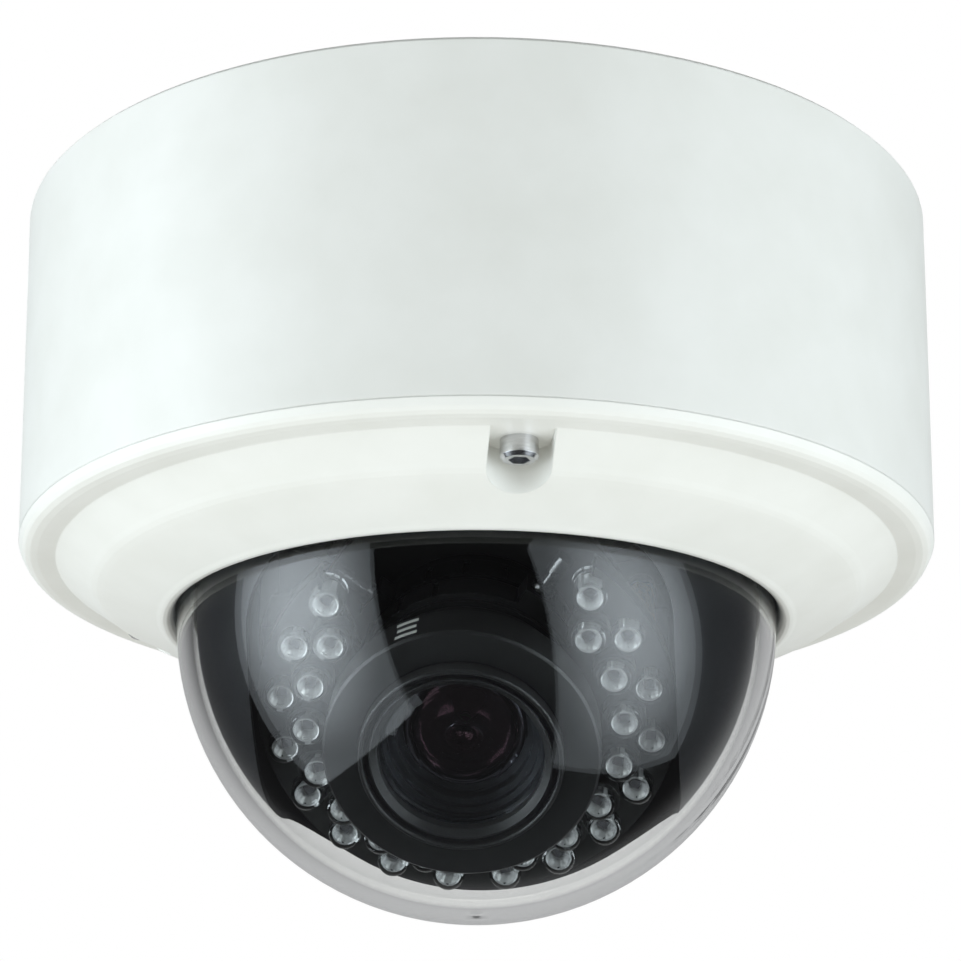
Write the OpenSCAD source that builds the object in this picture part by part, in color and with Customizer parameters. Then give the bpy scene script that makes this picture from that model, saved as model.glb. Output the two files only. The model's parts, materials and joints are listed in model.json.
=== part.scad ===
// Dome CCTV camera, ceiling mounted, vandal-resistant type with infrared lamps.
// Origin: centre of the ceiling face, z = 0 is that face, the camera hangs towards -z.
// The lens looks towards -y. Every sub-part sits in its installed place.

/* [Housing] */
// Radius of the body at the ceiling face
body_r_top = 73.5; // [70:0.5:80]
// Radius of the body at the parting line with the cover
body_r_low = 72.5; // [70:0.5:78]
// Depth of the body from the ceiling to the parting line
body_h = 54.8; // [50:0.2:60]
// Thickness of the cast side wall
wall = 2.9; // [2.5:0.1:4]
// Thickness of the ceiling plate
plate_t = 4; // [3:0.5:6]
// Radius of the circle of ceiling fixing holes
fix_r = 52; // [48:1:56]
// Radius of the cable hole in the ceiling plate
cable_r = 11; // [8:0.5:14]

/* [Cover] */
// Depth of the cover ring from the parting line to the dome opening
cover_h = 11.4; // [10:0.2:13]
// Radius of the dome opening
open_r = 47.8; // [47:0.1:50]
// Radius of the circle of the cover screws
screw_r = 61; // [60:0.5:63]
// Angle of the first cover screw from the front
screw_a0 = 10.5; // [0:0.5:60]
// Radius of a screw pocket
pocket_r = 4.6; // [4:0.1:5]

/* [Dome] */
// Outside radius of the clear dome
dome_r = 47.4; // [46:0.1:48]
// Wall thickness of the clear dome
dome_t = 2.5; // [2:0.1:3]

/* [Camera module] */
// Angle of the lens axis below the horizon
tilt_rest = 45; // [27:1:90]
// Distance of the tilt pivot below the dome opening
pivot_drop = 1; // [0:0.2:2]
// Radius of the outer row of lamps
led_ro = 27.6; // [27:0.1:28]
// Radius of the inner row of lamps
led_ri = 23.5; // [23.4:0.1:23.8]
// Radius of the lens barrel
barrel_r = 20.2; // [19:0.1:20.4]

/* [Shroud] */
// Outside radius of the black inner shroud
shroud_r = 44.3; // [44:0.1:44.4]
// Half width of the viewing slot
slot_w = 31; // [30.5:0.1:32]

/* [Hidden] */
zo = -(body_h + cover_h);
zw = -body_h;
za = zo + 9.2;
zd = zo + 0.9;
zs = zd + 1;
zp = zo - pivot_drop;
z_pan = -39;
led_step = 18.1;
post_angles = [71.4, 143.8, 216.2, 288.6];
post_r = 27.8;
white = [0.93, 0.94, 0.90];
black = [0.07, 0.07, 0.07];
steel = [0.75, 0.75, 0.76];
brass = [0.80, 0.65, 0.30];
board = [0.05, 0.20, 0.10];
big = 128;
med = 64;
sml = 28;

// Place children at angle a from the front (-y), counted towards +x, at radius r
module at(a, r) {
    rotate([0, 0, a]) translate([0, -r, 0]) children();
}

// Ring between two radii, from z0 to z1
module ring(ri, ro, z0, z1, fn = med) {
    translate([0, 0, z0]) difference() {
        cylinder(r = ro, h = z1 - z0, $fn = fn);
        translate([0, 0, -1]) cylinder(r = ri, h = z1 - z0 + 2, $fn = fn);
    }
}

// Solid disc from z0 to z1
module disc(r, z0, z1, fn = med) {
    translate([0, 0, z0]) cylinder(r = r, h = z1 - z0, $fn = fn);
}

// Frame of the camera module: the lens looks to -z, its top side is -y
module mod() {
    translate([0, 0, zp]) rotate([-(90 - tilt_rest), 0, 0]) children();
}

// Screw with its head below z = 0, shank going up, and a hex socket
module socket_screw(r, h, rs, len, hex) {
    difference() {
        union() {
            rotate_extrude($fn = 48) polygon([[0, -h], [r - 0.5, -h], [r, -h + 0.5], [r, 0], [0, 0]]);
            translate([0, 0, -0.01]) cylinder(r = rs, h = len, $fn = sml);
        }
        translate([0, 0, -h - 1]) cylinder(r = hex, h = h * 0.6 + 1, $fn = 6);
    }
}

// Small pan head screw, head below z = 0, with a cross slot
module pan_screw(r, h, rs, len) {
    difference() {
        union() {
            rotate_extrude($fn = 32) polygon([[0, -h], [r * 0.7, -h], [r, -h * 0.55], [r, 0], [0, 0]]);
            translate([0, 0, -0.01]) cylinder(r = rs, h = len, $fn = 20);
        }
        translate([-r * 0.55, -0.25, -h - 1]) cube([r * 1.1, 0.5, 1 + h * 0.5]);
        translate([-0.25, -r * 0.55, -h - 1]) cube([0.5, r * 1.1, 1 + h * 0.5]);
    }
}

// Knurled thumb screw, head below z = 0
module thumb_screw(r, h, rs, len) {
    difference() {
        union() {
            translate([0, 0, -h]) cylinder(r = r, h = h, $fn = 48);
            translate([0, 0, -0.01]) cylinder(r = rs, h = len, $fn = sml);
        }
        for (a = [0:30:330]) rotate([0, 0, a]) translate([r + 0.3, 0, -h - 1])
            cylinder(r = 0.7, h = h + 2, $fn = 16);
        translate([-r * 0.7, -0.4, -h - 1]) cube([r * 1.4, 0.8, 1.8]);
    }
}

// Hollow cast body with screw posts, board posts and pan base posts
module base_housing() {
    color(white) difference() {
        union() {
            rotate_extrude($fn = big) polygon([
                [0, 0], [body_r_top - 0.6, 0], [body_r_top, -0.6], [body_r_low, zw],
                [body_r_low - wall, zw], [body_r_top - wall, -plate_t], [0, -plate_t]]);
            for (i = [0:2]) at(screw_a0 + 120 * i, screw_r) {
                disc(4.5, zw + 1.2, -plate_t + 0.5, 32);
                translate([-1.5, -10.9, zw + 4.4]) cube([3, 10.5, body_h - 3.9 - plate_t]);
            }
            for (a = [70, 190, 310]) at(a, 43.5) disc(4, z_pan + 3, -plate_t + 0.5, 32);
            for (x = [-26, 26], y = [-18, 18]) translate([x, y, 0])
                disc(3, -12, -plate_t + 0.5, sml);
            translate([0, 60, -27]) rotate([-90, 0, 0]) cylinder(r = 13.5, h = 11, $fn = 48);
        }
        disc(cable_r, -plate_t - 1, 1, 48);
        for (a = [45:90:315]) at(a, fix_r) {
            disc(2.3, -plate_t - 1, 1, sml);
        }
        translate([0, 59, -27]) rotate([-90, 0, 0]) cylinder(r = 10, h = 20, $fn = 48);
        for (i = [0:2]) at(screw_a0 + 120 * i, screw_r) {
            disc(2.6, zw + 0.2, zw + 7.2, 32);
            disc(1.8, zw + 7, zw + 12, sml);
        }
        for (a = [70, 190, 310]) at(a, 43.5) disc(1.5, z_pan + 2, z_pan + 10, sml);
        for (x = [-26, 26], y = [-18, 18]) translate([x, y, 0]) disc(1.25, -13, -6.5, sml);
        translate([-56, 8, 0]) disc(1.5, -plate_t - 1, -1, sml);
    }
}

// Blanking plug of the side conduit port
module conduit_plug() {
    color(white) difference() {
        union() {
            translate([0, 61.5, -27]) rotate([-90, 0, 0]) cylinder(r = 10, h = 10.7, $fn = 48);
            translate([0, 58, -27]) rotate([-90, 0, 0]) cylinder(r = 8.6, h = 4, $fn = 48);
        }
        translate([0, 66.5, -27]) rotate([-90, 0, 0]) cylinder(r = 4.6, h = 8, $fn = 6);
    }
}

// Rubber grommet of the ceiling cable hole
module cable_grommet() {
    color(black) rotate_extrude($fn = 48) polygon([
        [6, -0.2], [cable_r, -0.2], [cable_r, -plate_t], [cable_r + 2.2, -plate_t],
        [cable_r + 2.2, -plate_t - 1.8], [8.5, -plate_t - 2.6], [6, -plate_t - 2.6]]);
}

// Brass thread inserts of the cover screws
module thread_inserts() {
    color(brass) for (i = [0:2]) at(screw_a0 + 120 * i, screw_r)
        ring(1.55, 2.6, zw + 1.2, zw + 7.2, 32);
}

// Earth terminal screw inside the ceiling plate
module earth_screw() {
    color(brass) translate([-56, 8, -plate_t]) pan_screw(3.2, 2.4, 1.5, 2.5);
}

// Power and video board under the ceiling plate
module io_board() {
    color(board) difference() {
        translate([-30, -22, -13.6]) cube([60, 44, 1.6]);
        for (x = [-26, 26], y = [-18, 18]) translate([x, y, 0]) disc(1.5, -15, -11, sml);
    }
}

module io_board_screws() {
    color(steel) for (x = [-26, 26], y = [-18, 18]) translate([x, y, -13.6])
        pan_screw(2.6, 1.8, 1.25, 6.5);
}

// Coaxial video socket on the board
module video_connector() {
    color(steel) translate([-14, 0, -13.6]) union() {
        translate([-6.5, -6.5, -8]) cube([13, 13, 8]);
        translate([0, 6.5, -4.5]) rotate([-90, 0, 0]) difference() {
            union() {
                cylinder(r = 4.3, h = 9, $fn = 32);
                translate([-5.4, -1, 4.6]) cube([10.8, 2, 2]);
            }
            translate([0, 0, 1]) cylinder(r = 3.6, h = 9, $fn = 32);
        }
        translate([0, 6.5, -4.5]) rotate([-90, 0, 0]) cylinder(r = 0.8, h = 8, $fn = 16);
    }
}

// Two-way power terminal block
module terminal_block() {
    color([0.1, 0.35, 0.2]) translate([8, -12, -13.6]) difference() {
        translate([0, 0, -10]) cube([12, 9, 10]);
        for (x = [3.2, 8.8]) {
            translate([x, 4.5, -11]) cylinder(r = 1.7, h = 4, $fn = 24);
            translate([x - 1.5, -1, -6.5]) cube([3, 4, 3]);
        }
    }
}

// Electrolytic capacitors and a choke on the board
module io_capacitors() {
    color([0.2, 0.2, 0.25]) {
        for (p = [[12, 10], [21, 8]]) translate([p[0], p[1], -13.6]) {
            disc(3.4, -11, 0, 32);
        }
        translate([-2, -14, -13.6]) difference() {
            translate([-5, -5, -5]) cube([10, 10, 5]);
            disc(3, -6, -3.5, 32);
        }
    }
}

// Fixed bearing plate of the pan turntable
module pan_base() {
    color(black) difference() {
        union() {
            ring(14.05, 47.5, z_pan, z_pan + 3, big);
            ring(44, 45.6, z_pan + 2.9, z_pan + 3, big);
        }
        for (a = [70, 190, 310]) at(a, 43.5) disc(1.7, z_pan - 1, z_pan + 4, sml);
        for (a = [0:60:300]) at(a + 10, 30) disc(5, z_pan - 1, z_pan + 4, 32);
    }
}

module pan_base_screws() {
    color(steel) for (a = [70, 190, 310]) at(a, 43.5)
        translate([0, 0, z_pan]) pan_screw(2.7, 1.9, 1.5, 10);
}

// Profile of the solid cover ring, r against height above the dome opening
module cover_profile() {
    difference() {
        polygon([
            [body_r_low, cover_h], [71.9, 10.2], [71.4, 9.7], [70.6, 9.35], [69.5, 9.2],
            [66.7, 9.2], [61.6, 5.63], [60.8, 5.0], [60.0, 4.5], [59.0, 4.02], [50.6, 0.42],
            [50.0, 0.1], [49.5, -0.1], [48.9, -0.1], [48.4, 0.2], [48.0, 0.8], [open_r, 1.7],
            [open_r, 4.6], [53.6, 4.6], [53.6, 7.2], [59.6, 7.2], [64.6, 11.2], [66.4, 12.1],
            [66.4, 15.4], [69.1, 15.4], [69.1, cover_h]]);
        translate([67.6, 12.4]) square([2, 2]);
    }
}

// Walls around the screw pockets, kept above the outer face of the cover
module pocket_walls() {
    difference() {
        for (i = [0:2]) at(screw_a0 + 120 * i, screw_r) {
            disc(pocket_r + 2, 1, 12, 48);
            translate([-pocket_r - 2, -7, 9.4]) cube([2 * pocket_r + 4, 7, 2.6]);
        }
        rotate_extrude($fn = big) polygon([
            [50.6, 0.52], [59.0, 4.12], [60.0, 4.6], [60.8, 5.1], [61.6, 5.73], [66.7, 9.3],
            [76, 9.3], [76, -2], [50.6, -2]]);
    }
}

// White cast ring that carries the dome, with three open screw pockets
module cover_ring() {
    color(white) translate([0, 0, zo]) difference() {
        union() {
            rotate_extrude($fn = big) cover_profile();
            pocket_walls();
            for (i = [0:5]) at(40 + 60 * i, 56.5) translate([0, 0, 5])
                cylinder(r = 3, h = 2.4, $fn = 32);
        }
        for (i = [0:2]) at(screw_a0 + 120 * i, screw_r) {
            translate([0, 0, -1]) cylinder(r = pocket_r, h = 10.2, $fn = 48);
            translate([-pocket_r, -9, -1]) cube([2 * pocket_r, 9, 10.2]);
            translate([0, 0, 8]) cylinder(r = 1.75, h = 6, $fn = sml);
        }
        for (i = [0:5]) at(40 + 60 * i, 56.5) translate([0, 0, 4.4])
            cylinder(r = 1.0, h = 4, $fn = sml);
    }
}

// Rubber sealing ring between cover and body
module cover_seal() {
    color(black) translate([0, 0, zo + 13.4]) rotate_extrude($fn = big)
        translate([68.55, 0]) circle(r = 0.92, $fn = 24);
}

// Flat gasket under the dome flange
module dome_gasket() {
    color(black) ring(48.2, 53.4, zo + 4.6, zo + 5.4, big);
}

// Clear dome: half sphere, short skirt and clamping flange
module dome_bubble() {
    color([0.8, 0.85, 0.9, 0.3]) translate([0, 0, zd]) rotate_extrude($fn = big) difference() {
        union() {
            intersection() {
                circle(r = dome_r, $fn = big);
                translate([0, -60]) square([60, 60]);
            }
            square([dome_r, 6.5]);
            translate([dome_r - 1, 4.5]) square([6, 2]);
        }
        circle(r = dome_r - dome_t, $fn = big);
        square([dome_r - dome_t, 10]);
        translate([-60, -60]) square([60, 120]);
    }
}

// Clamping ring of the dome, cut away around the screw pockets
module dome_retainer() {
    color(black) difference() {
        ring(46, 59.4, zo + 7.4, zo + 9.0, big);
        for (i = [0:2]) at(screw_a0 + 120 * i, screw_r)
            disc(pocket_r + 2.6, zo + 7, zo + 10, 48);
        for (i = [0:5]) at(40 + 60 * i, 56.5) disc(1.15, zo + 7, zo + 10, sml);
    }
}

module retainer_screws() {
    color(steel) for (i = [0:5]) at(40 + 60 * i, 56.5) translate([0, 0, zo + 9.0])
        mirror([0, 0, 1]) pan_screw(2.2, 1.5, 1.0, 4.4);
}

module cover_screw(i) {
    color(steel) at(screw_a0 + 120 * i, screw_r) translate([0, 0, za])
        socket_screw(2.75, 3, 1.5, 9.5, 1.6);
}

module cover_screw_1() {
    cover_screw(0);
}

module cover_screw_2() {
    cover_screw(1);
}

module cover_screw_3() {
    cover_screw(2);
}

// Nylon rings that keep the cover screws captive
module captive_rings() {
    color(black) for (i = [0:2]) at(screw_a0 + 120 * i, screw_r)
        ring(1.55, 2.5, zo + 12, zo + 12.4, 32);
}

// Turntable with its bearing spigot and the two arms of the tilt pivot
module pan_yoke() {
    color(black) difference() {
        union() {
            disc(39.2, z_pan - 3.1, z_pan - 0.1, big);
            disc(14, z_pan - 0.2, z_pan + 5.5, med);
            for (s = [-1, 1]) {
                translate([s * 34.75 - 1.25, -8, zp]) cube([2.5, 16, z_pan - 3 - zp]);
                translate([s * 34.75 - 1.25, 0, zp]) rotate([0, 90, 0])
                    cylinder(r = 8, h = 2.5, $fn = 48);
                translate([s * 34.75 - 1.25, -8, z_pan - 5.1]) cube([2.5, 16, 3]);
            }
        }
        ring(13, 15, z_pan + 3.05, z_pan + 4.05, med);
        disc(10, z_pan - 5, z_pan + 7, 48);
        translate([-40, 0, zp]) rotate([0, 90, 0]) cylinder(r = 2.05, h = 80, $fn = sml);
        at(180, 25) disc(2.05, z_pan - 5, z_pan + 1, sml);
        for (a = [45:90:315]) at(a, 37.2) disc(0.9, z_pan - 4, z_pan - 0.6, sml);
        for (a = [120, 240]) at(a, 25) disc(5, z_pan - 5, z_pan + 1, 32);
    }
}

// Spring clip that holds the turntable on the bearing plate
module pan_clip() {
    color(steel) difference() {
        ring(13.05, 17.5, z_pan + 3.05, z_pan + 4.05, med);
        translate([-2, 10, z_pan + 2]) cube([4, 10, 4]);
    }
}

// Clamping screw of the pan movement
module pan_lock() {
    color(steel) at(180, 25) translate([0, 0, z_pan - 3.15]) thumb_screw(4.5, 3.5, 2, 3.1);
}

// Rounded end of the viewing slot, its tip at y = 0
module slot_end(r) {
    translate([-slot_w, -80]) square([2 * slot_w, 80 - r]);
    translate([-slot_w + r, -r - 1]) square([2 * (slot_w - r), r + 1]);
    for (s = [-1, 1]) translate([s * (slot_w - r), -r]) circle(r = r, $fn = 48);
}

// Space cut out by the viewing slot, rounded at its top and behind the lowest point
module slot_space() {
    intersection() {
        translate([0, 40, zo + 3.5]) rotate([90, 0, 0]) linear_extrude(height = 100) slot_end(12);
        translate([0, 16, -130]) linear_extrude(height = 100) slot_end(10);
    }
}

// Black shroud, a hollow half ball with a rim and the viewing slot
module inner_shroud() {
    color(black) difference() {
        translate([0, 0, zs]) rotate_extrude($fn = big) difference() {
            union() {
                intersection() {
                    circle(r = shroud_r, $fn = big);
                    translate([0, -60]) square([60, 60]);
                }
                square([shroud_r, z_pan - 3.1 - zs]);
            }
            circle(r = shroud_r - 0.8, $fn = big);
            square([shroud_r - 0.8, z_pan - 4.3 - zs]);
            translate([0, 20]) square([34.6, 20]);
            translate([-60, -60]) square([60, 120]);
        }
        slot_space();
        for (s = [-1, 1]) translate([s * 34.75 - 2.4, -9.5, z_pan - 5]) cube([4.8, 19, 4]);
        for (a = [45:90:315]) at(a, 37.2) disc(1.2, z_pan - 6, z_pan - 2, sml);
    }
}

module shroud_screws() {
    color(steel) for (a = [45:90:315]) at(a, 37.2) translate([0, 0, z_pan - 4.3])
        pan_screw(2, 1.3, 0.9, 3.4);
}

// Ring of the tilt movement with its two pivot blocks
module tilt_cradle() {
    color(black) mod() difference() {
        union() {
            disc(22.5, -2, 6);
            for (s = [-1, 1]) {
                translate([s * 26.7 - 6.7, -5, -2]) cube([13.4, 10, 8]);
                translate([s * 31.85 - 1.55, -5, -5]) cube([3.1, 10, 11]);
            }
            translate([-3.5, -25, -2]) cube([7, 6, 8]);
        }
        disc(18.05, -3, 7);
        for (s = [-1, 1]) translate([s * 35 - 4.9, 0, 0]) rotate([0, 90, 0])
            cylinder(r = 2.05, h = 9.8, $fn = sml);
        translate([0, -18, 2]) rotate([90, 0, 0]) cylinder(r = 1.5, h = 10, $fn = sml);
    }
}

module tilt_lock_left() {
    color(steel) translate([-36.05, 0, zp]) rotate([0, 90, 0])
        thumb_screw(5.2, 2.6, 2, 5.7);
}

module tilt_lock_right() {
    color(steel) mirror([1, 0, 0]) tilt_lock_left();
}

// Clamping screw of the image rotation
module rotation_lock() {
    color(steel) mod() translate([0, -25, 2]) rotate([-90, 0, 0]) pan_screw(2.5, 1.6, 1.5, 6.8);
}

// Turning carrier of lens, sensor board and lamp board
module lens_carrier() {
    color(black) mod() difference() {
        union() {
            disc(18, -3, 8);
            disc(26, -4.05, -2.05, big);
            for (a = post_angles) rotate([0, 0, a]) translate([0, -post_r, 0])
                disc(2.2, -4.05, -2.05, 32);
        }
        disc(14.6, -5, 4);
        disc(12.7, -5, 9);
        disc(15, 6, 9);
        for (a = [30, 150, 270]) at(a, 16.5) disc(0.7, 4.5, 9, 16);
        for (a = post_angles) rotate([0, 0, a]) translate([0, -post_r, 0])
            disc(1, -5, -1, 20);
    }
}

// Retaining ring behind the carrier
module carrier_ring() {
    color(steel) mod() ring(18.05, 20.6, 6.05, 7.6);
}

// Round image sensor board
module sensor_board() {
    color(board) mod() difference() {
        disc(17.8, 8, 9.6);
        for (a = [30, 150, 270]) at(a, 16.5) disc(0.8, 7, 10, 16);
    }
}

module sensor_chip() {
    color([0.15, 0.15, 0.18]) mod() union() {
        translate([-6, -5, 7]) cube([12, 10, 1]);
        translate([-3, -2.4, 6.8]) cube([6, 4.8, 0.3]);
    }
}

module sensor_screws() {
    color(steel) mod() for (a = [30, 150, 270]) at(a, 16.5) translate([0, 0, 9.6])
        mirror([0, 0, 1]) pan_screw(1.3, 1.0, 0.7, 4.4);
}

// Cable socket on the back of the sensor board
module sensor_connector() {
    color([0.9, 0.88, 0.8]) mod() translate([-6, 4, 9.6]) difference() {
        cube([12, 5, 4.5]);
        translate([0.8, 0.8, 1]) cube([10.4, 3.4, 5]);
    }
}

// Fixed core tube of the varifocal lens with its collars
module lens_body() {
    color(black) mod() difference() {
        union() {
            disc(12.65, 2, 6);
            disc(14.5, -4.05, 4);
            disc(13.5, -29, -4);
            disc(16.4, -6.95, -4.1);
            disc(16.4, -13.9, -12.05);
            disc(16.4, -20, -19.05);
        }
        disc(9, -30, 7, 48);
        disc(11, -30, -18, 48);
    }
}

// Rear glass of the lens
module rear_element() {
    color([0.5, 0.6, 0.8, 0.4]) mod() rotate_extrude($fn = 48) polygon([
        [0, 2.4], [3, 2.25], [6, 1.8], [8.96, 1], [8.96, -1.5], [6, -2], [3, -2.3], [0, -2.4]]);
}

// Iris motor box on the underside of the lens
module iris_drive() {
    color(black) mod() difference() {
        union() {
            translate([-5, 16.2, -18.5]) cube([10, 6.8, 14]);
            translate([-4, 13.5, -13.4]) cube([8, 4, 1.0]);
            translate([-4, 13.5, -6.6]) cube([8, 4, 2.4]);
        }
        disc(16.4, -20, -3);
        disc(17.6, -19, -14);
        disc(17.2, -12.1, -6.9);
    }
}

// Zoom ring with grip grooves and the seat of its lever
module zoom_ring() {
    color(black) mod() difference() {
        union() {
            ring(13.55, 16.9, -12, -7);
            rotate([0, 0, -50]) translate([-2.5, -19.5, -12]) cube([5, 4, 5]);
        }
        disc(13.55, -13, -6);
        for (a = [-20:20:280]) rotate([0, 0, a]) translate([-0.5, -18, -11.5]) cube([1, 1.6, 4]);
        rotate([0, 0, -50]) translate([0, -12, -9.5]) rotate([90, 0, 0])
            cylinder(r = 1, h = 10, $fn = 20);
    }
}

module zoom_lever() {
    color(steel) mod() rotate([0, 0, -50]) translate([0, -14, -9.5]) rotate([90, 0, 0]) union() {
        cylinder(r = 1, h = 12.5, $fn = 20);
        translate([0, 0, 9.5]) cylinder(r = 1.5, h = 3, $fn = 32);
        translate([0, 0, 5.5]) cylinder(r = 1.9, h = 1.2, $fn = 32);
    }
}

// Focus ring with grip grooves and the seat of its lever
module focus_ring() {
    color(black) mod() difference() {
        union() {
            ring(13.55, 17.3, -19, -14);
            rotate([0, 0, 36]) translate([-2.5, -19.9, -19]) cube([5, 4, 5]);
        }
        disc(13.55, -20, -13);
        for (a = [66:20:346]) rotate([0, 0, a]) translate([-0.5, -18.4, -18.5]) cube([1, 1.6, 4]);
        rotate([0, 0, 36]) translate([0, -12, -16.5]) rotate([90, 0, 0])
            cylinder(r = 1, h = 10, $fn = 20);
    }
}

module focus_lever() {
    color(steel) mod() rotate([0, 0, 36]) translate([0, -14, -16.5]) rotate([90, 0, 0]) union() {
        cylinder(r = 1, h = 12.5, $fn = 20);
        translate([0, 0, 9.5]) cylinder(r = 1.5, h = 3, $fn = 32);
        translate([0, 0, 5.9]) cylinder(r = 1.9, h = 1.2, $fn = 32);
    }
}

// Large front barrel of the lens
module lens_barrel() {
    color(black) mod() rotate_extrude($fn = 96) polygon([
        [13.55, -21.6], [16.4, -21.6], [16.4, -29.5], [19.6, -29.5], [barrel_r, -30.1],
        [barrel_r, -36.1], [barrel_r - 0.4, -36.5], [15.1, -36.1], [15.1, -33.4],
        [12.2, -33.4], [12.2, -31], [13.55, -31]]);
}

// Front ring that holds the front glass
module front_trim() {
    color([0.12, 0.12, 0.12]) mod() rotate_extrude($fn = 96) polygon([
        [12.1, -33.4], [15.05, -33.4], [15.05, -35.6], [14.9, -35.8], [14.9, -38.1],
        [14.7, -38.3], [14.4, -38.3], [14.2, -38.1], [14.2, -37.0], [13.3, -37.0],
        [13.3, -37.9], [13.1, -38.0], [12.1, -37.2]]);
}

// Front glass, curved on its outer face
module front_glass() {
    color([0.4, 0.5, 0.6, 0.5]) mod() rotate_extrude($fn = 96) polygon([
        [0, -37.8], [2, -37.75], [4, -37.6], [6, -37.35], [8, -36.98], [10, -36.53],
        [11.6, -36.08], [12.05, -35.92], [12.05, -33.4], [0, -33.4]]);
}

// Spacers between carrier and lamp board
module led_standoffs() {
    color(brass) mod() for (a = post_angles) rotate([0, 0, a])
        translate([0, -post_r, 0]) union() {
            disc(2, -20, -4.05, 6);
            disc(1, -4.1, -2.2, 20);
        }
}

// Outline of the lamp board, open at its top side
module led_outline(r) {
    difference() {
        circle(r = r, $fn = 96);
        circle(r = 18.6, $fn = 72);
        polygon([[-15.6, -12], [15.6, -12], [24, -34], [-24, -34]]);
        for (s = [-1, 1]) translate([s * 13.2, -12.4]) circle(r = 3, $fn = 24);
    }
}

// Place children at a lamp position, angle from the bottom side of the module
module led_at(a, r) {
    rotate([0, 0, a]) translate([0, r, 0]) children();
}

module led_board() {
    color(black) mod() difference() {
        translate([0, 0, -21.6]) linear_extrude(height = 1.6) led_outline(31);
        for (a = post_angles) rotate([0, 0, a]) translate([0, -post_r, 0])
            disc(1, -22, -19, 20);
    }
}

// Black holder plate of the lamps, with raised collars around the inner row
module led_holder() {
    color(black) mod() difference() {
        union() {
            translate([0, 0, -24.5]) linear_extrude(height = 1.9) led_outline(31.2);
            difference() {
                translate([0, 0, -22.7]) linear_extrude(height = 1.1) led_outline(31.2);
                disc(30.5, -23, -21, 96);
            }
            for (s = [-1, 1], i = [1:7]) led_at(s * led_step * i, led_ri)
                disc(3.15, -27.6, -24.4, 24);
        }
        for (s = [-1, 1], i = [0:7]) led_at(s * led_step * (i + 0.5), led_ro)
            disc(2.55, -25, -22, 24);
        for (s = [-1, 1], i = [1:7]) led_at(s * led_step * i, led_ri) {
            disc(2.55, -28, -22, 24);
            disc(2.9, -24.9, -22, 24);
        }
        led_at(0, 26.2) disc(1.6, -25, -22, 24);
    }
}

// One lamp with its flange at z = 0, the lens tip points to -z
module lamp(foot) {
    rotate_extrude($fn = 24) union() {
        translate([0, -1]) square([2.8, 1]);
        translate([0, -4.5]) square([2.5, 3.6]);
        intersection() {
            translate([0, -4.5]) circle(r = 2.5, $fn = 24);
            translate([0, -7.5]) square([3, 3.1]);
        }
    }
    if (foot > 0) disc(1.6, -0.1, foot, 16);
}

module lamps(s, first, last, r, z, foot) {
    color([0.85, 0.9, 0.95, 0.6]) mod() for (i = [first:last])
        led_at(s * led_step * i, r) translate([0, 0, z]) lamp(foot);
}

module leds_outer_left() {
    lamps(1, 0.5, 7.5, led_ro, -21.6, 0);
}

module leds_outer_right() {
    lamps(-1, 0.5, 7.5, led_ro, -21.6, 0);
}

module leds_inner_left() {
    lamps(1, 1, 7, led_ri, -23.9, 2.3);
}

module leds_inner_right() {
    lamps(-1, 1, 7, led_ri, -23.9, 2.3);
}

// Light sensor between the two lowest lamps
module light_sensor() {
    color([0.3, 0.35, 0.25]) mod() led_at(0, 26.2) disc(1.5, -25.1, -21.6, 24);
}

module led_screws() {
    color(steel) mod() for (a = post_angles) rotate([0, 0, a])
        translate([0, -post_r, -21.6]) disc(1, -0.6, 1.6, 20);
}

base_housing();
conduit_plug();
cable_grommet();
thread_inserts();
earth_screw();
io_board();
io_board_screws();
video_connector();
terminal_block();
io_capacitors();
pan_base();
pan_base_screws();
cover_ring();
cover_seal();
dome_gasket();
dome_bubble();
dome_retainer();
retainer_screws();
cover_screw_1();
cover_screw_2();
cover_screw_3();
captive_rings();
pan_yoke();
pan_clip();
pan_lock();
inner_shroud();
shroud_screws();
tilt_cradle();
tilt_lock_left();
tilt_lock_right();
rotation_lock();
lens_carrier();
carrier_ring();
sensor_board();
sensor_chip();
sensor_screws();
sensor_connector();
lens_body();
rear_element();
iris_drive();
zoom_ring();
zoom_lever();
focus_ring();
focus_lever();
lens_barrel();
front_trim();
front_glass();
led_standoffs();
led_board();
led_holder();
leds_outer_left();
leds_outer_right();
leds_inner_left();
leds_inner_right();
light_sensor();
led_screws();
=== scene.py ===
"""Looks of the dome camera: materials, lamp and lens details, studio and camera."""

import json
import math

import bmesh
import bpy
from mathutils import Matrix, Quaternion, Vector


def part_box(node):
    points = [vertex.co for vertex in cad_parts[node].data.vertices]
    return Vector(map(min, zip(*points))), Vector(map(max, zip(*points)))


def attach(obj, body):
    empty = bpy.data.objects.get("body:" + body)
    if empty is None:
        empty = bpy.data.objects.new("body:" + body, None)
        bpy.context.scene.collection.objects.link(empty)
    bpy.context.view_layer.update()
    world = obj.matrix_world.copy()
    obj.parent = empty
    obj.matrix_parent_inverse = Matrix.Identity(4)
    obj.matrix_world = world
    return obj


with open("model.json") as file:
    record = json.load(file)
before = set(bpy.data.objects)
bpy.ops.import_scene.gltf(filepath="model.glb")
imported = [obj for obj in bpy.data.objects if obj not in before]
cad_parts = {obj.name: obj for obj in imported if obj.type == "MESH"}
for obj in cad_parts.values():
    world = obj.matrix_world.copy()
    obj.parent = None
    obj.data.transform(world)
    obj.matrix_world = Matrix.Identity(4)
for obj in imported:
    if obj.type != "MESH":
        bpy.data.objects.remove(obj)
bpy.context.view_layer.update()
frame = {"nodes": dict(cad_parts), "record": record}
MM = 0.001

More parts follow.
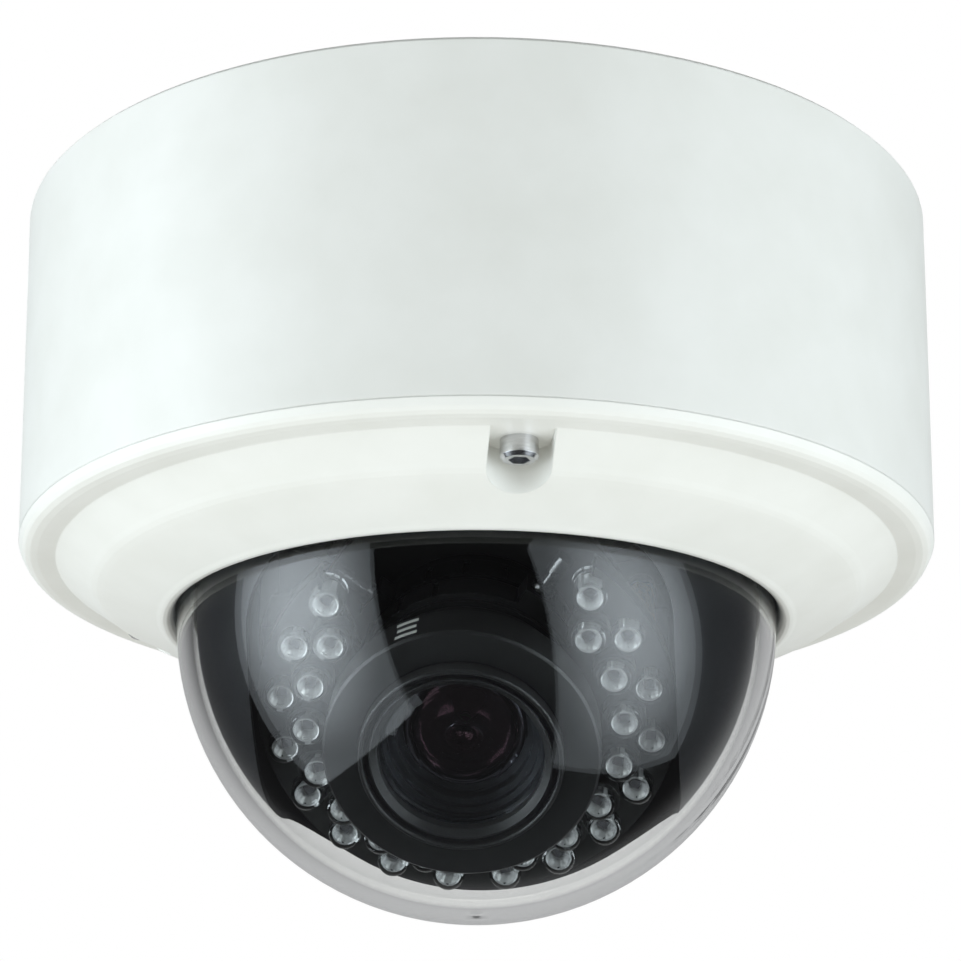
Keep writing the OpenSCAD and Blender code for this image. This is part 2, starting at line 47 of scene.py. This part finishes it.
# ---------------------------------------------------------------- places from the frame
JOINTS = {j["name"]: j for j in frame["record"]["behaviour"]["joints"]}
PIVOT = Vector(JOINTS["image_rotation"]["pos_m"])
LENS_AXIS = Vector(JOINTS["image_rotation"]["axis"]).normalized()
MODULE_Z = -LENS_AXIS
MODULE_X = Vector((1, 0, 0))
MODULE_Y = MODULE_Z.cross(MODULE_X)
MODULE = Matrix.Translation(PIVOT) @ Matrix((MODULE_X, MODULE_Y, MODULE_Z)).transposed().to_4x4()
DOME_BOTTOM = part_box("dome_bubble")[0].z
HOUSING_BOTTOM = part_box("base_housing")[0].z

# lamp board, as in the CAD; rows count their steps from the middle of the board's open top
LAMP_STEP = 18.1  # degrees between lamps of a row
LAMP_ROWS = (
    {"radius": 27.6 * MM, "flange": -21.6 * MM, "steps": [i + 0.5 for i in range(8)]},
    {"radius": 23.5 * MM, "flange": -23.9 * MM, "steps": [i + 1 for i in range(7)]},
)
BARREL_R = 20.2 * MM  # outside radius of the front barrel


# ---------------------------------------------------------------- small node helpers
def new_material(name):
    mat = bpy.data.materials.new(name)
    mat.use_nodes = True
    tree = mat.node_tree
    return mat, tree, tree.nodes["Principled BSDF"]


def node(tree, kind, **values):
    made = tree.nodes.new(kind)
    for key, value in values.items():
        setattr(made, key, value)
    return made


def coordinates(tree, stretch=(1, 1, 1)):
    """Object coordinates in metres, so that a pattern has its real size."""
    place = node(tree, "ShaderNodeTexCoord")
    mapping = node(tree, "ShaderNodeMapping")
    mapping.inputs["Scale"].default_value = stretch
    tree.links.new(place.outputs["Object"], mapping.inputs["Vector"])
    return mapping.outputs["Vector"]


def noise(tree, vector, size, detail=3.0, rough=0.5):
    """Noise with features about size metres across."""
    made = node(tree, "ShaderNodeTexNoise")
    made.inputs["Scale"].default_value = 1 / size
    made.inputs["Detail"].default_value = detail
    made.inputs["Roughness"].default_value = rough
    tree.links.new(vector, made.inputs["Vector"])
    return made.outputs["Fac"]


def ramp(tree, fac, low, high, start=0.3, end=0.7):
    """Colour from low to high as fac goes from start to end."""
    made = node(tree, "ShaderNodeValToRGB")
    made.color_ramp.elements[0].position = start
    made.color_ramp.elements[1].position = end
    made.color_ramp.elements[0].color = (*low, 1)
    made.color_ramp.elements[1].color = (*high, 1)
    tree.links.new(fac, made.inputs["Fac"])
    return made.outputs["Color"]


def span(tree, fac, low, high):
    """Number from low to high as fac goes from 0.25 to 0.75."""
    made = node(tree, "ShaderNodeMapRange")
    made.inputs["From Min"].default_value = 0.25
    made.inputs["From Max"].default_value = 0.75
    made.inputs["To Min"].default_value = low
    made.inputs["To Max"].default_value = high
    tree.links.new(fac, made.inputs["Value"])
    return made.outputs["Result"]


def bump(tree, height, depth, normal=None):
    """Bump of depth metres."""
    made = node(tree, "ShaderNodeBump")
    made.inputs["Distance"].default_value = depth
    made.inputs["Strength"].default_value = 1.0
    tree.links.new(height, made.inputs["Height"])
    if normal is not None:
        tree.links.new(normal, made.inputs["Normal"])
    return made.outputs["Normal"]


def surface(name, low, high, rough, grain, depth, metal=0.0, blotch=12 * MM, stretch=(1, 1, 1), edge=0.0):
    """A solid finish: two close colours in soft blotches, a fine grain and uneven gloss."""
    mat, tree, shader = new_material(name)
    at = coordinates(tree, stretch)
    broad = noise(tree, at, blotch, 4.0)
    fine = noise(tree, at, grain, 2.0, 0.6)
    tree.links.new(ramp(tree, broad, low, high), shader.inputs["Base Color"])
    tree.links.new(span(tree, fine, *rough), shader.inputs["Roughness"])
    shader.inputs["Metallic"].default_value = metal
    normal = None
    if edge > 0:
        rounded = node(tree, "ShaderNodeBevel", samples=4)
        rounded.inputs["Radius"].default_value = edge
        normal = rounded.outputs["Normal"]
    tree.links.new(bump(tree, fine, depth, normal), shader.inputs["Normal"])
    return mat


def clear(name, tint, ior, smear=(0.0, 0.02), coat=None):
    """A clear body with faint wiping marks; light from the lamps of the studio passes through."""
    mat, tree, shader = new_material(name)
    shader.inputs["Transmission Weight"].default_value = 1.0
    shader.inputs["IOR"].default_value = ior
    at = coordinates(tree, (1, 1, 3))
    broad = noise(tree, at, 9 * MM, 3.0)
    paler = tuple(min(1.0, c * 1.01) for c in tint)
    tree.links.new(ramp(tree, broad, tint, paler), shader.inputs["Base Color"])
    tree.links.new(span(tree, broad, *smear), shader.inputs["Roughness"])
    if coat:
        shader.inputs["Specular Tint"].default_value = (*coat, 1)
    out = tree.nodes["Material Output"]
    mix = node(tree, "ShaderNodeMixShader")
    path = node(tree, "ShaderNodeLightPath")
    through = node(tree, "ShaderNodeBsdfTransparent")
    through.inputs["Color"].default_value = (*tint, 1)
    tree.links.new(path.outputs["Is Shadow Ray"], mix.inputs["Fac"])
    tree.links.new(shader.outputs["BSDF"], mix.inputs[1])
    tree.links.new(through.outputs["BSDF"], mix.inputs[2])
    tree.links.new(mix.outputs["Shader"], out.inputs["Surface"])
    return mat


# ---------------------------------------------------------------- materials
paint = surface(
    "white_paint", (0.80, 0.80, 0.755), (0.84, 0.84, 0.80), (0.34, 0.42), 0.5 * MM, 0.006 * MM,
    edge=0.35 * MM,
)
plastic = surface(
    "black_plastic", (0.008, 0.008, 0.007), (0.013, 0.013, 0.012), (0.36, 0.5), 0.3 * MM, 0.002 * MM,
    edge=0.2 * MM,
)
shroud = surface(
    "shroud_plastic", (0.006, 0.006, 0.007), (0.010, 0.010, 0.011), (0.30, 0.42), 0.3 * MM,
    0.004 * MM,
)
board_black = surface(
    "black_board", (0.020, 0.021, 0.015), (0.030, 0.031, 0.024), (0.35, 0.5), 0.4 * MM, 0.006 * MM,
    blotch=5 * MM,
)
board_green = surface(
    "green_board", (0.015, 0.09, 0.04), (0.03, 0.14, 0.06), (0.3, 0.45), 0.4 * MM, 0.01 * MM,
    blotch=3 * MM,
)
lens_metal = surface(
    "lens_black", (0.007, 0.007, 0.007), (0.011, 0.011, 0.011), (0.32, 0.42), 0.2 * MM, 0.0008 * MM,
    edge=0.15 * MM,
)
lens_trim = surface(
    "lens_trim", (0.016, 0.016, 0.016), (0.024, 0.024, 0.024), (0.26, 0.36), 0.2 * MM, 0.0008 * MM,
    metal=0.1, edge=0.12 * MM,
)
steel = surface(
    "steel", (0.60, 0.60, 0.61), (0.72, 0.72, 0.73), (0.16, 0.30), 0.15 * MM, 0.002 * MM, metal=1.0,
    blotch=2 * MM, stretch=(1, 1, 6), edge=0.12 * MM,
)
dark_steel = surface(
    "dark_steel", (0.10, 0.10, 0.10), (0.20, 0.20, 0.20), (0.18, 0.32), 0.15 * MM, 0.002 * MM,
    metal=1.0, edge=0.15 * MM,
)
brass = surface(
    "brass", (0.62, 0.42, 0.16), (0.72, 0.52, 0.22), (0.22, 0.34), 0.2 * MM, 0.002 * MM, metal=1.0,
    edge=0.1 * MM,
)
rubber = surface("rubber", (0.014, 0.014, 0.014), (0.022, 0.022, 0.022), (0.6, 0.8), 0.25 * MM, 0.01 * MM)
nylon = surface("nylon", (0.68, 0.66, 0.58), (0.75, 0.73, 0.66), (0.4, 0.55), 0.3 * MM, 0.005 * MM)
moulded = surface(
    "dark_component", (0.018, 0.018, 0.024), (0.03, 0.03, 0.04), (0.3, 0.45), 0.2 * MM, 0.004 * MM,
)
terminal = surface(
    "terminal_green", (0.03, 0.17, 0.07), (0.05, 0.24, 0.10), (0.35, 0.5), 0.3 * MM, 0.006 * MM,
)
resin = surface(
    "sensor_resin", (0.07, 0.11, 0.06), (0.12, 0.17, 0.09), (0.1, 0.2), 0.3 * MM, 0.004 * MM,
    blotch=1 * MM,
)
silver = surface(
    "silver_plate", (0.86, 0.85, 0.82), (0.94, 0.93, 0.91), (0.10, 0.20), 0.7 * MM, 0.07 * MM,
    metal=0.6, blotch=1 * MM,
)
chip = surface(
    "lamp_chip", (0.30, 0.29, 0.30), (0.42, 0.41, 0.42), (0.15, 0.25), 0.1 * MM, 0.001 * MM,
    metal=0.8,
)
mark = surface("white_mark", (0.55, 0.55, 0.52), (0.64, 0.64, 0.60), (0.45, 0.6), 0.1 * MM, 0.002 * MM)
velvet = surface(
    "matt_black", (0.004, 0.004, 0.004), (0.007, 0.007, 0.007), (0.7, 0.9), 0.3 * MM, 0.01 * MM,
)
dome_clear = clear("clear_dome", (0.955, 0.965, 0.96), 1.50, smear=(0.0, 0.012))
lens_glass = clear("lens_glass", (0.90, 0.93, 0.97), 1.62, smear=(0.0, 0.008))
epoxy = clear("lamp_epoxy", (0.95, 0.97, 0.98), 1.53, smear=(0.0, 0.02))

SLOT_MATERIAL = {
    "white_cast": paint, "black_plastic": plastic, "steel": steel, "brass": brass, "rubber": rubber,
    "board_green": board_green, "board_black": board_black, "terminal_green": terminal,
    "component_dark": moulded, "clear_dome": dome_clear, "black_metal": plastic, "nylon": nylon,
    "shroud_plastic": shroud, "lens_black": lens_metal, "lens_trim": lens_trim,
    "dark_steel": dark_steel, "lens_glass": lens_glass, "led_clear": epoxy, "sensor_resin": resin,
}
for part in frame["record"]["subparts"]:
    obj = frame["nodes"][part["node"]]
    obj.data.materials.clear()
    obj.data.materials.append(SLOT_MATERIAL[part["material_slot"]])


# ---------------------------------------------------------------- mesh helpers
def piece(name, mesh_data, mat, body, smooth=True):
    """One object from a bmesh, riding on a body."""
    mesh = bpy.data.meshes.new(name)
    mesh_data.to_mesh(mesh)
    mesh_data.free()
    for face in mesh.polygons:
        face.use_smooth = smooth
    obj = bpy.data.objects.new(name, mesh)
    bpy.context.collection.objects.link(obj)
    mesh.materials.append(mat)
    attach(obj, body)


def lathe(bm, outline, matrix, steps):
    """Adds the closed outline of (radius, height) points, turned about matrix's z axis."""
    rings = []
    for i in range(steps):
        a = 2 * math.pi * i / steps
        turned = [Vector((r * math.cos(a), r * math.sin(a), z)) for r, z in outline]
        rings.append([bm.verts.new(matrix @ point) for point in turned])
    count = len(outline)
    for i in range(steps):
        here, there = rings[i], rings[(i + 1) % steps]
        for k in range(count):
            bm.faces.new((here[k], there[k], there[(k + 1) % count], here[(k + 1) % count]))


def lamp_places():
    """The matrix of every lamp, its flange at z = 0, the tip towards -z."""
    for row in LAMP_ROWS:
        for side in (-1, 1):
            for step in row["steps"]:
                turn = Matrix.Rotation(math.radians(side * LAMP_STEP * step), 4, "Z")
                yield MODULE @ turn @ Matrix.Translation((0, row["radius"], row["flange"]))


def box(bm, matrix, low, high):
    """Adds a box between two corners."""
    centre = (Vector(low) + Vector(high)) / 2
    size = Vector(high) - Vector(low)
    scale = Matrix.Diagonal((*size, 1))
    bmesh.ops.create_cube(bm, size=1, matrix=matrix @ Matrix.Translation(centre) @ scale)


# ---------------------------------------------------------------- inside the lamps
def lamp_insides():
    """The reflector cup, the two leads and the chip in every lamp."""
    cups = bmesh.new()
    chips = bmesh.new()
    for place in lamp_places():
        cup = [(0.35, -3.6), (0.55, -3.6), (1.15, -4.5), (1.3, -4.5), (1.3, -4.3), (0.75, -3.3), (0.35, -3.3)]
        lathe(cups, [(r * MM, z * MM) for r, z in cup], place, 20)
        box(cups, place, (-0.6 * MM, -0.25 * MM, -3.4 * MM), (0.35 * MM, 0.25 * MM, -0.2 * MM))
        box(cups, place, (0.95 * MM, -0.25 * MM, -4.4 * MM), (1.5 * MM, 0.25 * MM, -0.2 * MM))
        box(chips, place, (-0.4 * MM, -0.4 * MM, -3.95 * MM), (0.4 * MM, 0.4 * MM, -3.3 * MM))
    piece("lamp_cups", cups, silver, "rotor", smooth=False)
    piece("lamp_chips", chips, chip, "rotor", smooth=False)


# ---------------------------------------------------------------- lens details
def lens_inside():
    """Stepped baffle, second glass and iris behind the front glass."""
    steps = [(12.0, -33.3), (11.4, -33.3), (11.2, -31.6), (10.4, -31.4), (10.2, -30.4), (9.2, -30.2),
             (9.0, -28.6), (8.0, -28.4), (8.0, -27.8), (10.4, -27.8), (10.5, -30.9), (12.0, -31.1)]
    bm = bmesh.new()
    lathe(bm, [(r * MM, z * MM) for r, z in steps], MODULE, 64)
    piece("lens_baffle", bm, lens_metal, "front_group", smooth=False)
    glass = [(0.01, -29.6), (2.5, -29.4), (5, -28.9), (7.9, -28.1), (7.9, -27.0), (5, -27.6), (0.01, -27.9)]
    bm = bmesh.new()
    lathe(bm, [(r * MM, z * MM) for r, z in glass], MODULE, 64)
    piece("second_glass", bm, coated_glass, "front_group")
    iris = [(2.2, -22.6), (10.9, -22.9), (10.9, -22.3), (2.2, -22.3)]
    bm = bmesh.new()
    lathe(bm, [(r * MM, z * MM) for r, z in iris], MODULE, 64)
    piece("iris_plate", bm, velvet, "rotor", smooth=False)


MARKS = ((-31.2, 3.4), (-33.0, 3.0), (-34.8, 3.4))  # depth along the lens axis and width, mm
MARK_STRIPS = 4
MARK_ANGLE = math.radians(-20)
MARK_HALF = 0.35
MARK_PROUD = 0.06 * MM
MARK_SUNK = 0.2 * MM


def barrel_marks():
    """Three plain index marks on the barrel, each of four strips that follow its curve."""
    bm = bmesh.new()
    for depth, width in MARKS:
        strip = width * MM / MARK_STRIPS
        for k in range(MARK_STRIPS):
            along = (k - (MARK_STRIPS - 1) / 2) * strip
            turn = MODULE @ Matrix.Rotation(MARK_ANGLE + along / BARREL_R, 4, "Z")
            box(bm, turn, (-strip / 2, -BARREL_R - MARK_PROUD, (depth - MARK_HALF) * MM),
                (strip / 2, -BARREL_R + MARK_SUNK, (depth + MARK_HALF) * MM))
    piece("barrel_marks", bm, mark, "front_group", smooth=False)


coated_glass = clear("coated_glass", (0.82, 0.74, 0.80), 1.70, smear=(0.0, 0.01), coat=(0.9, 0.45, 0.5))
lamp_insides()
lens_inside()
barrel_marks()


# ---------------------------------------------------------------- studio
COOL = (0.84, 0.93, 1.0)
WARM = (1.0, 0.99, 0.93)
FLOOR_DROP = 0.45  # metres from the dome to the floor
FLOOR_GLOW = 0.6


def plain_floor():
    """Pale floor far below; it isn't mirrored in the object, and glows a little so that it stays pale."""
    bm = bmesh.new()
    bmesh.ops.create_grid(bm, x_segments=8, y_segments=8, size=3.0)
    mesh = bpy.data.meshes.new("floor")
    bm.to_mesh(mesh)
    bm.free()
    floor = bpy.data.objects.new("floor", mesh)
    bpy.context.collection.objects.link(floor)
    floor.location.z = DOME_BOTTOM - FLOOR_DROP
    pale = surface(
        "floor_pale", (0.80, 0.80, 0.80), (0.84, 0.84, 0.84), (0.7, 0.8), 2 * MM, 0.05 * MM, blotch=0.2,
    )
    shader = next(n for n in pale.node_tree.nodes if n.type == "BSDF_PRINCIPLED")
    shader.inputs["Emission Color"].default_value = (1, 1, 1, 1)
    shader.inputs["Emission Strength"].default_value = FLOOR_GLOW
    mesh.materials.append(pale)
    floor.visible_glossy = False
    floor.visible_diffuse = False
    floor.visible_transmission = False


def direction(azimuth, elevation):
    """Unit vector from the object towards an azimuth and elevation in radians, front = 0."""
    return Vector((
        math.sin(azimuth) * math.cos(elevation),
        -math.cos(azimuth) * math.cos(elevation),
        math.sin(elevation),
    ))


def soft_light(name, azimuth, elevation, width, height, power, roll=0, distance=0.6, colour=WARM, core=None):
    """Area light aimed at the dome opening; angles in degrees, as seen from there, front = 0.

    Only a light with a bright core is seen in reflections.
    """
    data = bpy.data.lights.new(name, "AREA")
    data.shape = "RECTANGLE"
    data.size = width
    data.size_y = height
    data.energy = power
    data.color = colour
    light = bpy.data.objects.new(name, data)
    bpy.context.collection.objects.link(light)
    out = direction(math.radians(azimuth), math.radians(elevation))
    light.location = Vector((0, 0, HOUSING_BOTTOM)) + out * distance
    light.rotation_mode = "QUATERNION"
    light.rotation_quaternion = out.to_track_quat("Z", "Y") @ Quaternion((0, 0, 1), math.radians(roll))
    light.visible_camera = False
    light.visible_glossy = core is not None
    if core:
        brighter_core(data, core)


def brighter_core(data, core):
    """Lets a light fall off from its core, as a lamp behind a diffuser does."""
    data.use_nodes = True
    tree = data.node_tree
    glow = tree.nodes["Emission"]
    place = node(tree, "ShaderNodeNewGeometry")
    mapping = node(tree, "ShaderNodeMapping")
    mapping.inputs["Location"].default_value = (-core[0], -core[1], 0)
    gradient = node(tree, "ShaderNodeTexGradient", gradient_type="SPHERICAL")
    fall = node(tree, "ShaderNodeMapRange", interpolation_type="SMOOTHSTEP")
    fall.inputs["From Min"].default_value = 0.45
    fall.inputs["From Max"].default_value = 1.0
    fall.inputs["To Min"].default_value = 0.6
    fall.inputs["To Max"].default_value = 3.2
    tree.links.new(place.outputs["Parametric"], mapping.inputs["Vector"])
    tree.links.new(mapping.outputs["Vector"], gradient.inputs["Vector"])
    tree.links.new(gradient.outputs["Fac"], fall.inputs["Value"])
    tree.links.new(fall.outputs["Result"], glow.inputs["Strength"])


BACK_GLOW = (0.50, 0.505, 0.51)
FRONT_GLOW = (0.035, 0.035, 0.037)
LOW_FILL = (0.73, 0.725, 0.68)
HIGH_FILL = (0.13, 0.13, 0.122)


def world_slope(tree, value, low, high, start, end):
    """Colour from low to high along one coordinate of the direction looked at."""
    slope = node(tree, "ShaderNodeMapRange", interpolation_type="SMOOTHSTEP")
    slope.inputs["From Min"].default_value = start
    slope.inputs["From Max"].default_value = end
    mix = node(tree, "ShaderNodeMix", data_type="RGBA")
    mix.inputs["A"].default_value = (*low, 1)
    mix.inputs["B"].default_value = (*high, 1)
    tree.links.new(value, slope.inputs["Value"])
    tree.links.new(slope.outputs["Result"], mix.inputs["Factor"])
    return mix.outputs["Result"]


def studio_world():
    """White backdrop; matt faces are lit from below, and what is reflected is pale only behind the object."""
    world = bpy.data.worlds.new("studio")
    bpy.context.scene.world = world
    world.use_nodes = True
    tree = world.node_tree
    back = tree.nodes["Background"]
    path = node(tree, "ShaderNodeLightPath")
    looked_at = node(tree, "ShaderNodeTexCoord")
    parts = node(tree, "ShaderNodeSeparateXYZ")
    tree.links.new(looked_at.outputs["Generated"], parts.inputs["Vector"])
    mirrored = world_slope(tree, parts.outputs["Y"], FRONT_GLOW, BACK_GLOW, 0.62, 0.97)
    matt = world_slope(tree, parts.outputs["Z"], LOW_FILL, HIGH_FILL, -0.8, 0.5)
    bounced = node(tree, "ShaderNodeMath", operation="ADD")
    straight = node(tree, "ShaderNodeMath", operation="LESS_THAN")
    straight.inputs[1].default_value = 0.5
    kind = node(tree, "ShaderNodeMix", data_type="RGBA")
    shown = node(tree, "ShaderNodeMix", data_type="RGBA")
    shown.inputs["B"].default_value = (1, 1, 1, 1)
    tree.links.new(path.outputs["Diffuse Depth"], bounced.inputs[0])
    tree.links.new(path.outputs["Glossy Depth"], bounced.inputs[1])
    tree.links.new(bounced.outputs["Value"], straight.inputs[0])
    tree.links.new(path.outputs["Is Diffuse Ray"], kind.inputs["Factor"])
    tree.links.new(mirrored, kind.inputs["A"])
    tree.links.new(matt, kind.inputs["B"])
    tree.links.new(kind.outputs["Result"], shown.inputs["A"])
    tree.links.new(straight.outputs["Value"], shown.inputs["Factor"])
    tree.links.new(shown.outputs["Result"], back.inputs["Color"])
    back.inputs["Strength"].default_value = 1.0


CAMERA_AZIMUTH = math.radians(4.8)
CAMERA_ELEVATION = math.radians(-19.76)
CAMERA_DISTANCE = 0.4761
CAMERA_LENS = 110.4  # millimetres, on a 36 mm sensor
AIM_ASIDE = 0.63 * MM  # the point aimed at, right of the axis
AIM_HEIGHT = -41.2 * MM


def camera():
    """The photograph's viewing angle: from a little below the ceiling, looking up."""
    data = bpy.data.cameras.new("camera")
    data.lens = CAMERA_LENS
    data.sensor_width = 36
    data.clip_start = 0.01
    obj = bpy.data.objects.new("camera", data)
    bpy.context.collection.objects.link(obj)
    right = direction(CAMERA_AZIMUTH + math.pi / 2, 0)
    target = right * AIM_ASIDE + Vector((0, 0, AIM_HEIGHT))
    back = direction(CAMERA_AZIMUTH, CAMERA_ELEVATION)
    obj.location = target + back * CAMERA_DISTANCE
    obj.rotation_mode = "QUATERNION"
    obj.rotation_quaternion = back.to_track_quat("Z", "Y")
    bpy.context.scene.camera = obj


plain_floor()
soft_light("soft_left", -64.0, -11.4, 0.74, 1.04, 3.4, roll=-2.2, colour=COOL, core=(0.5, 0.58))
soft_light("soft_right", 65.8, -13.3, 0.71, 1.17, 2.9, roll=30.9, colour=COOL, core=(0.5, 0.55))
soft_light("soft_top", 180, 50, 1.0, 1.0, 5.0, distance=1.0)
studio_world()
camera()
bpy.context.scene.view_settings.view_transform = "Standard"
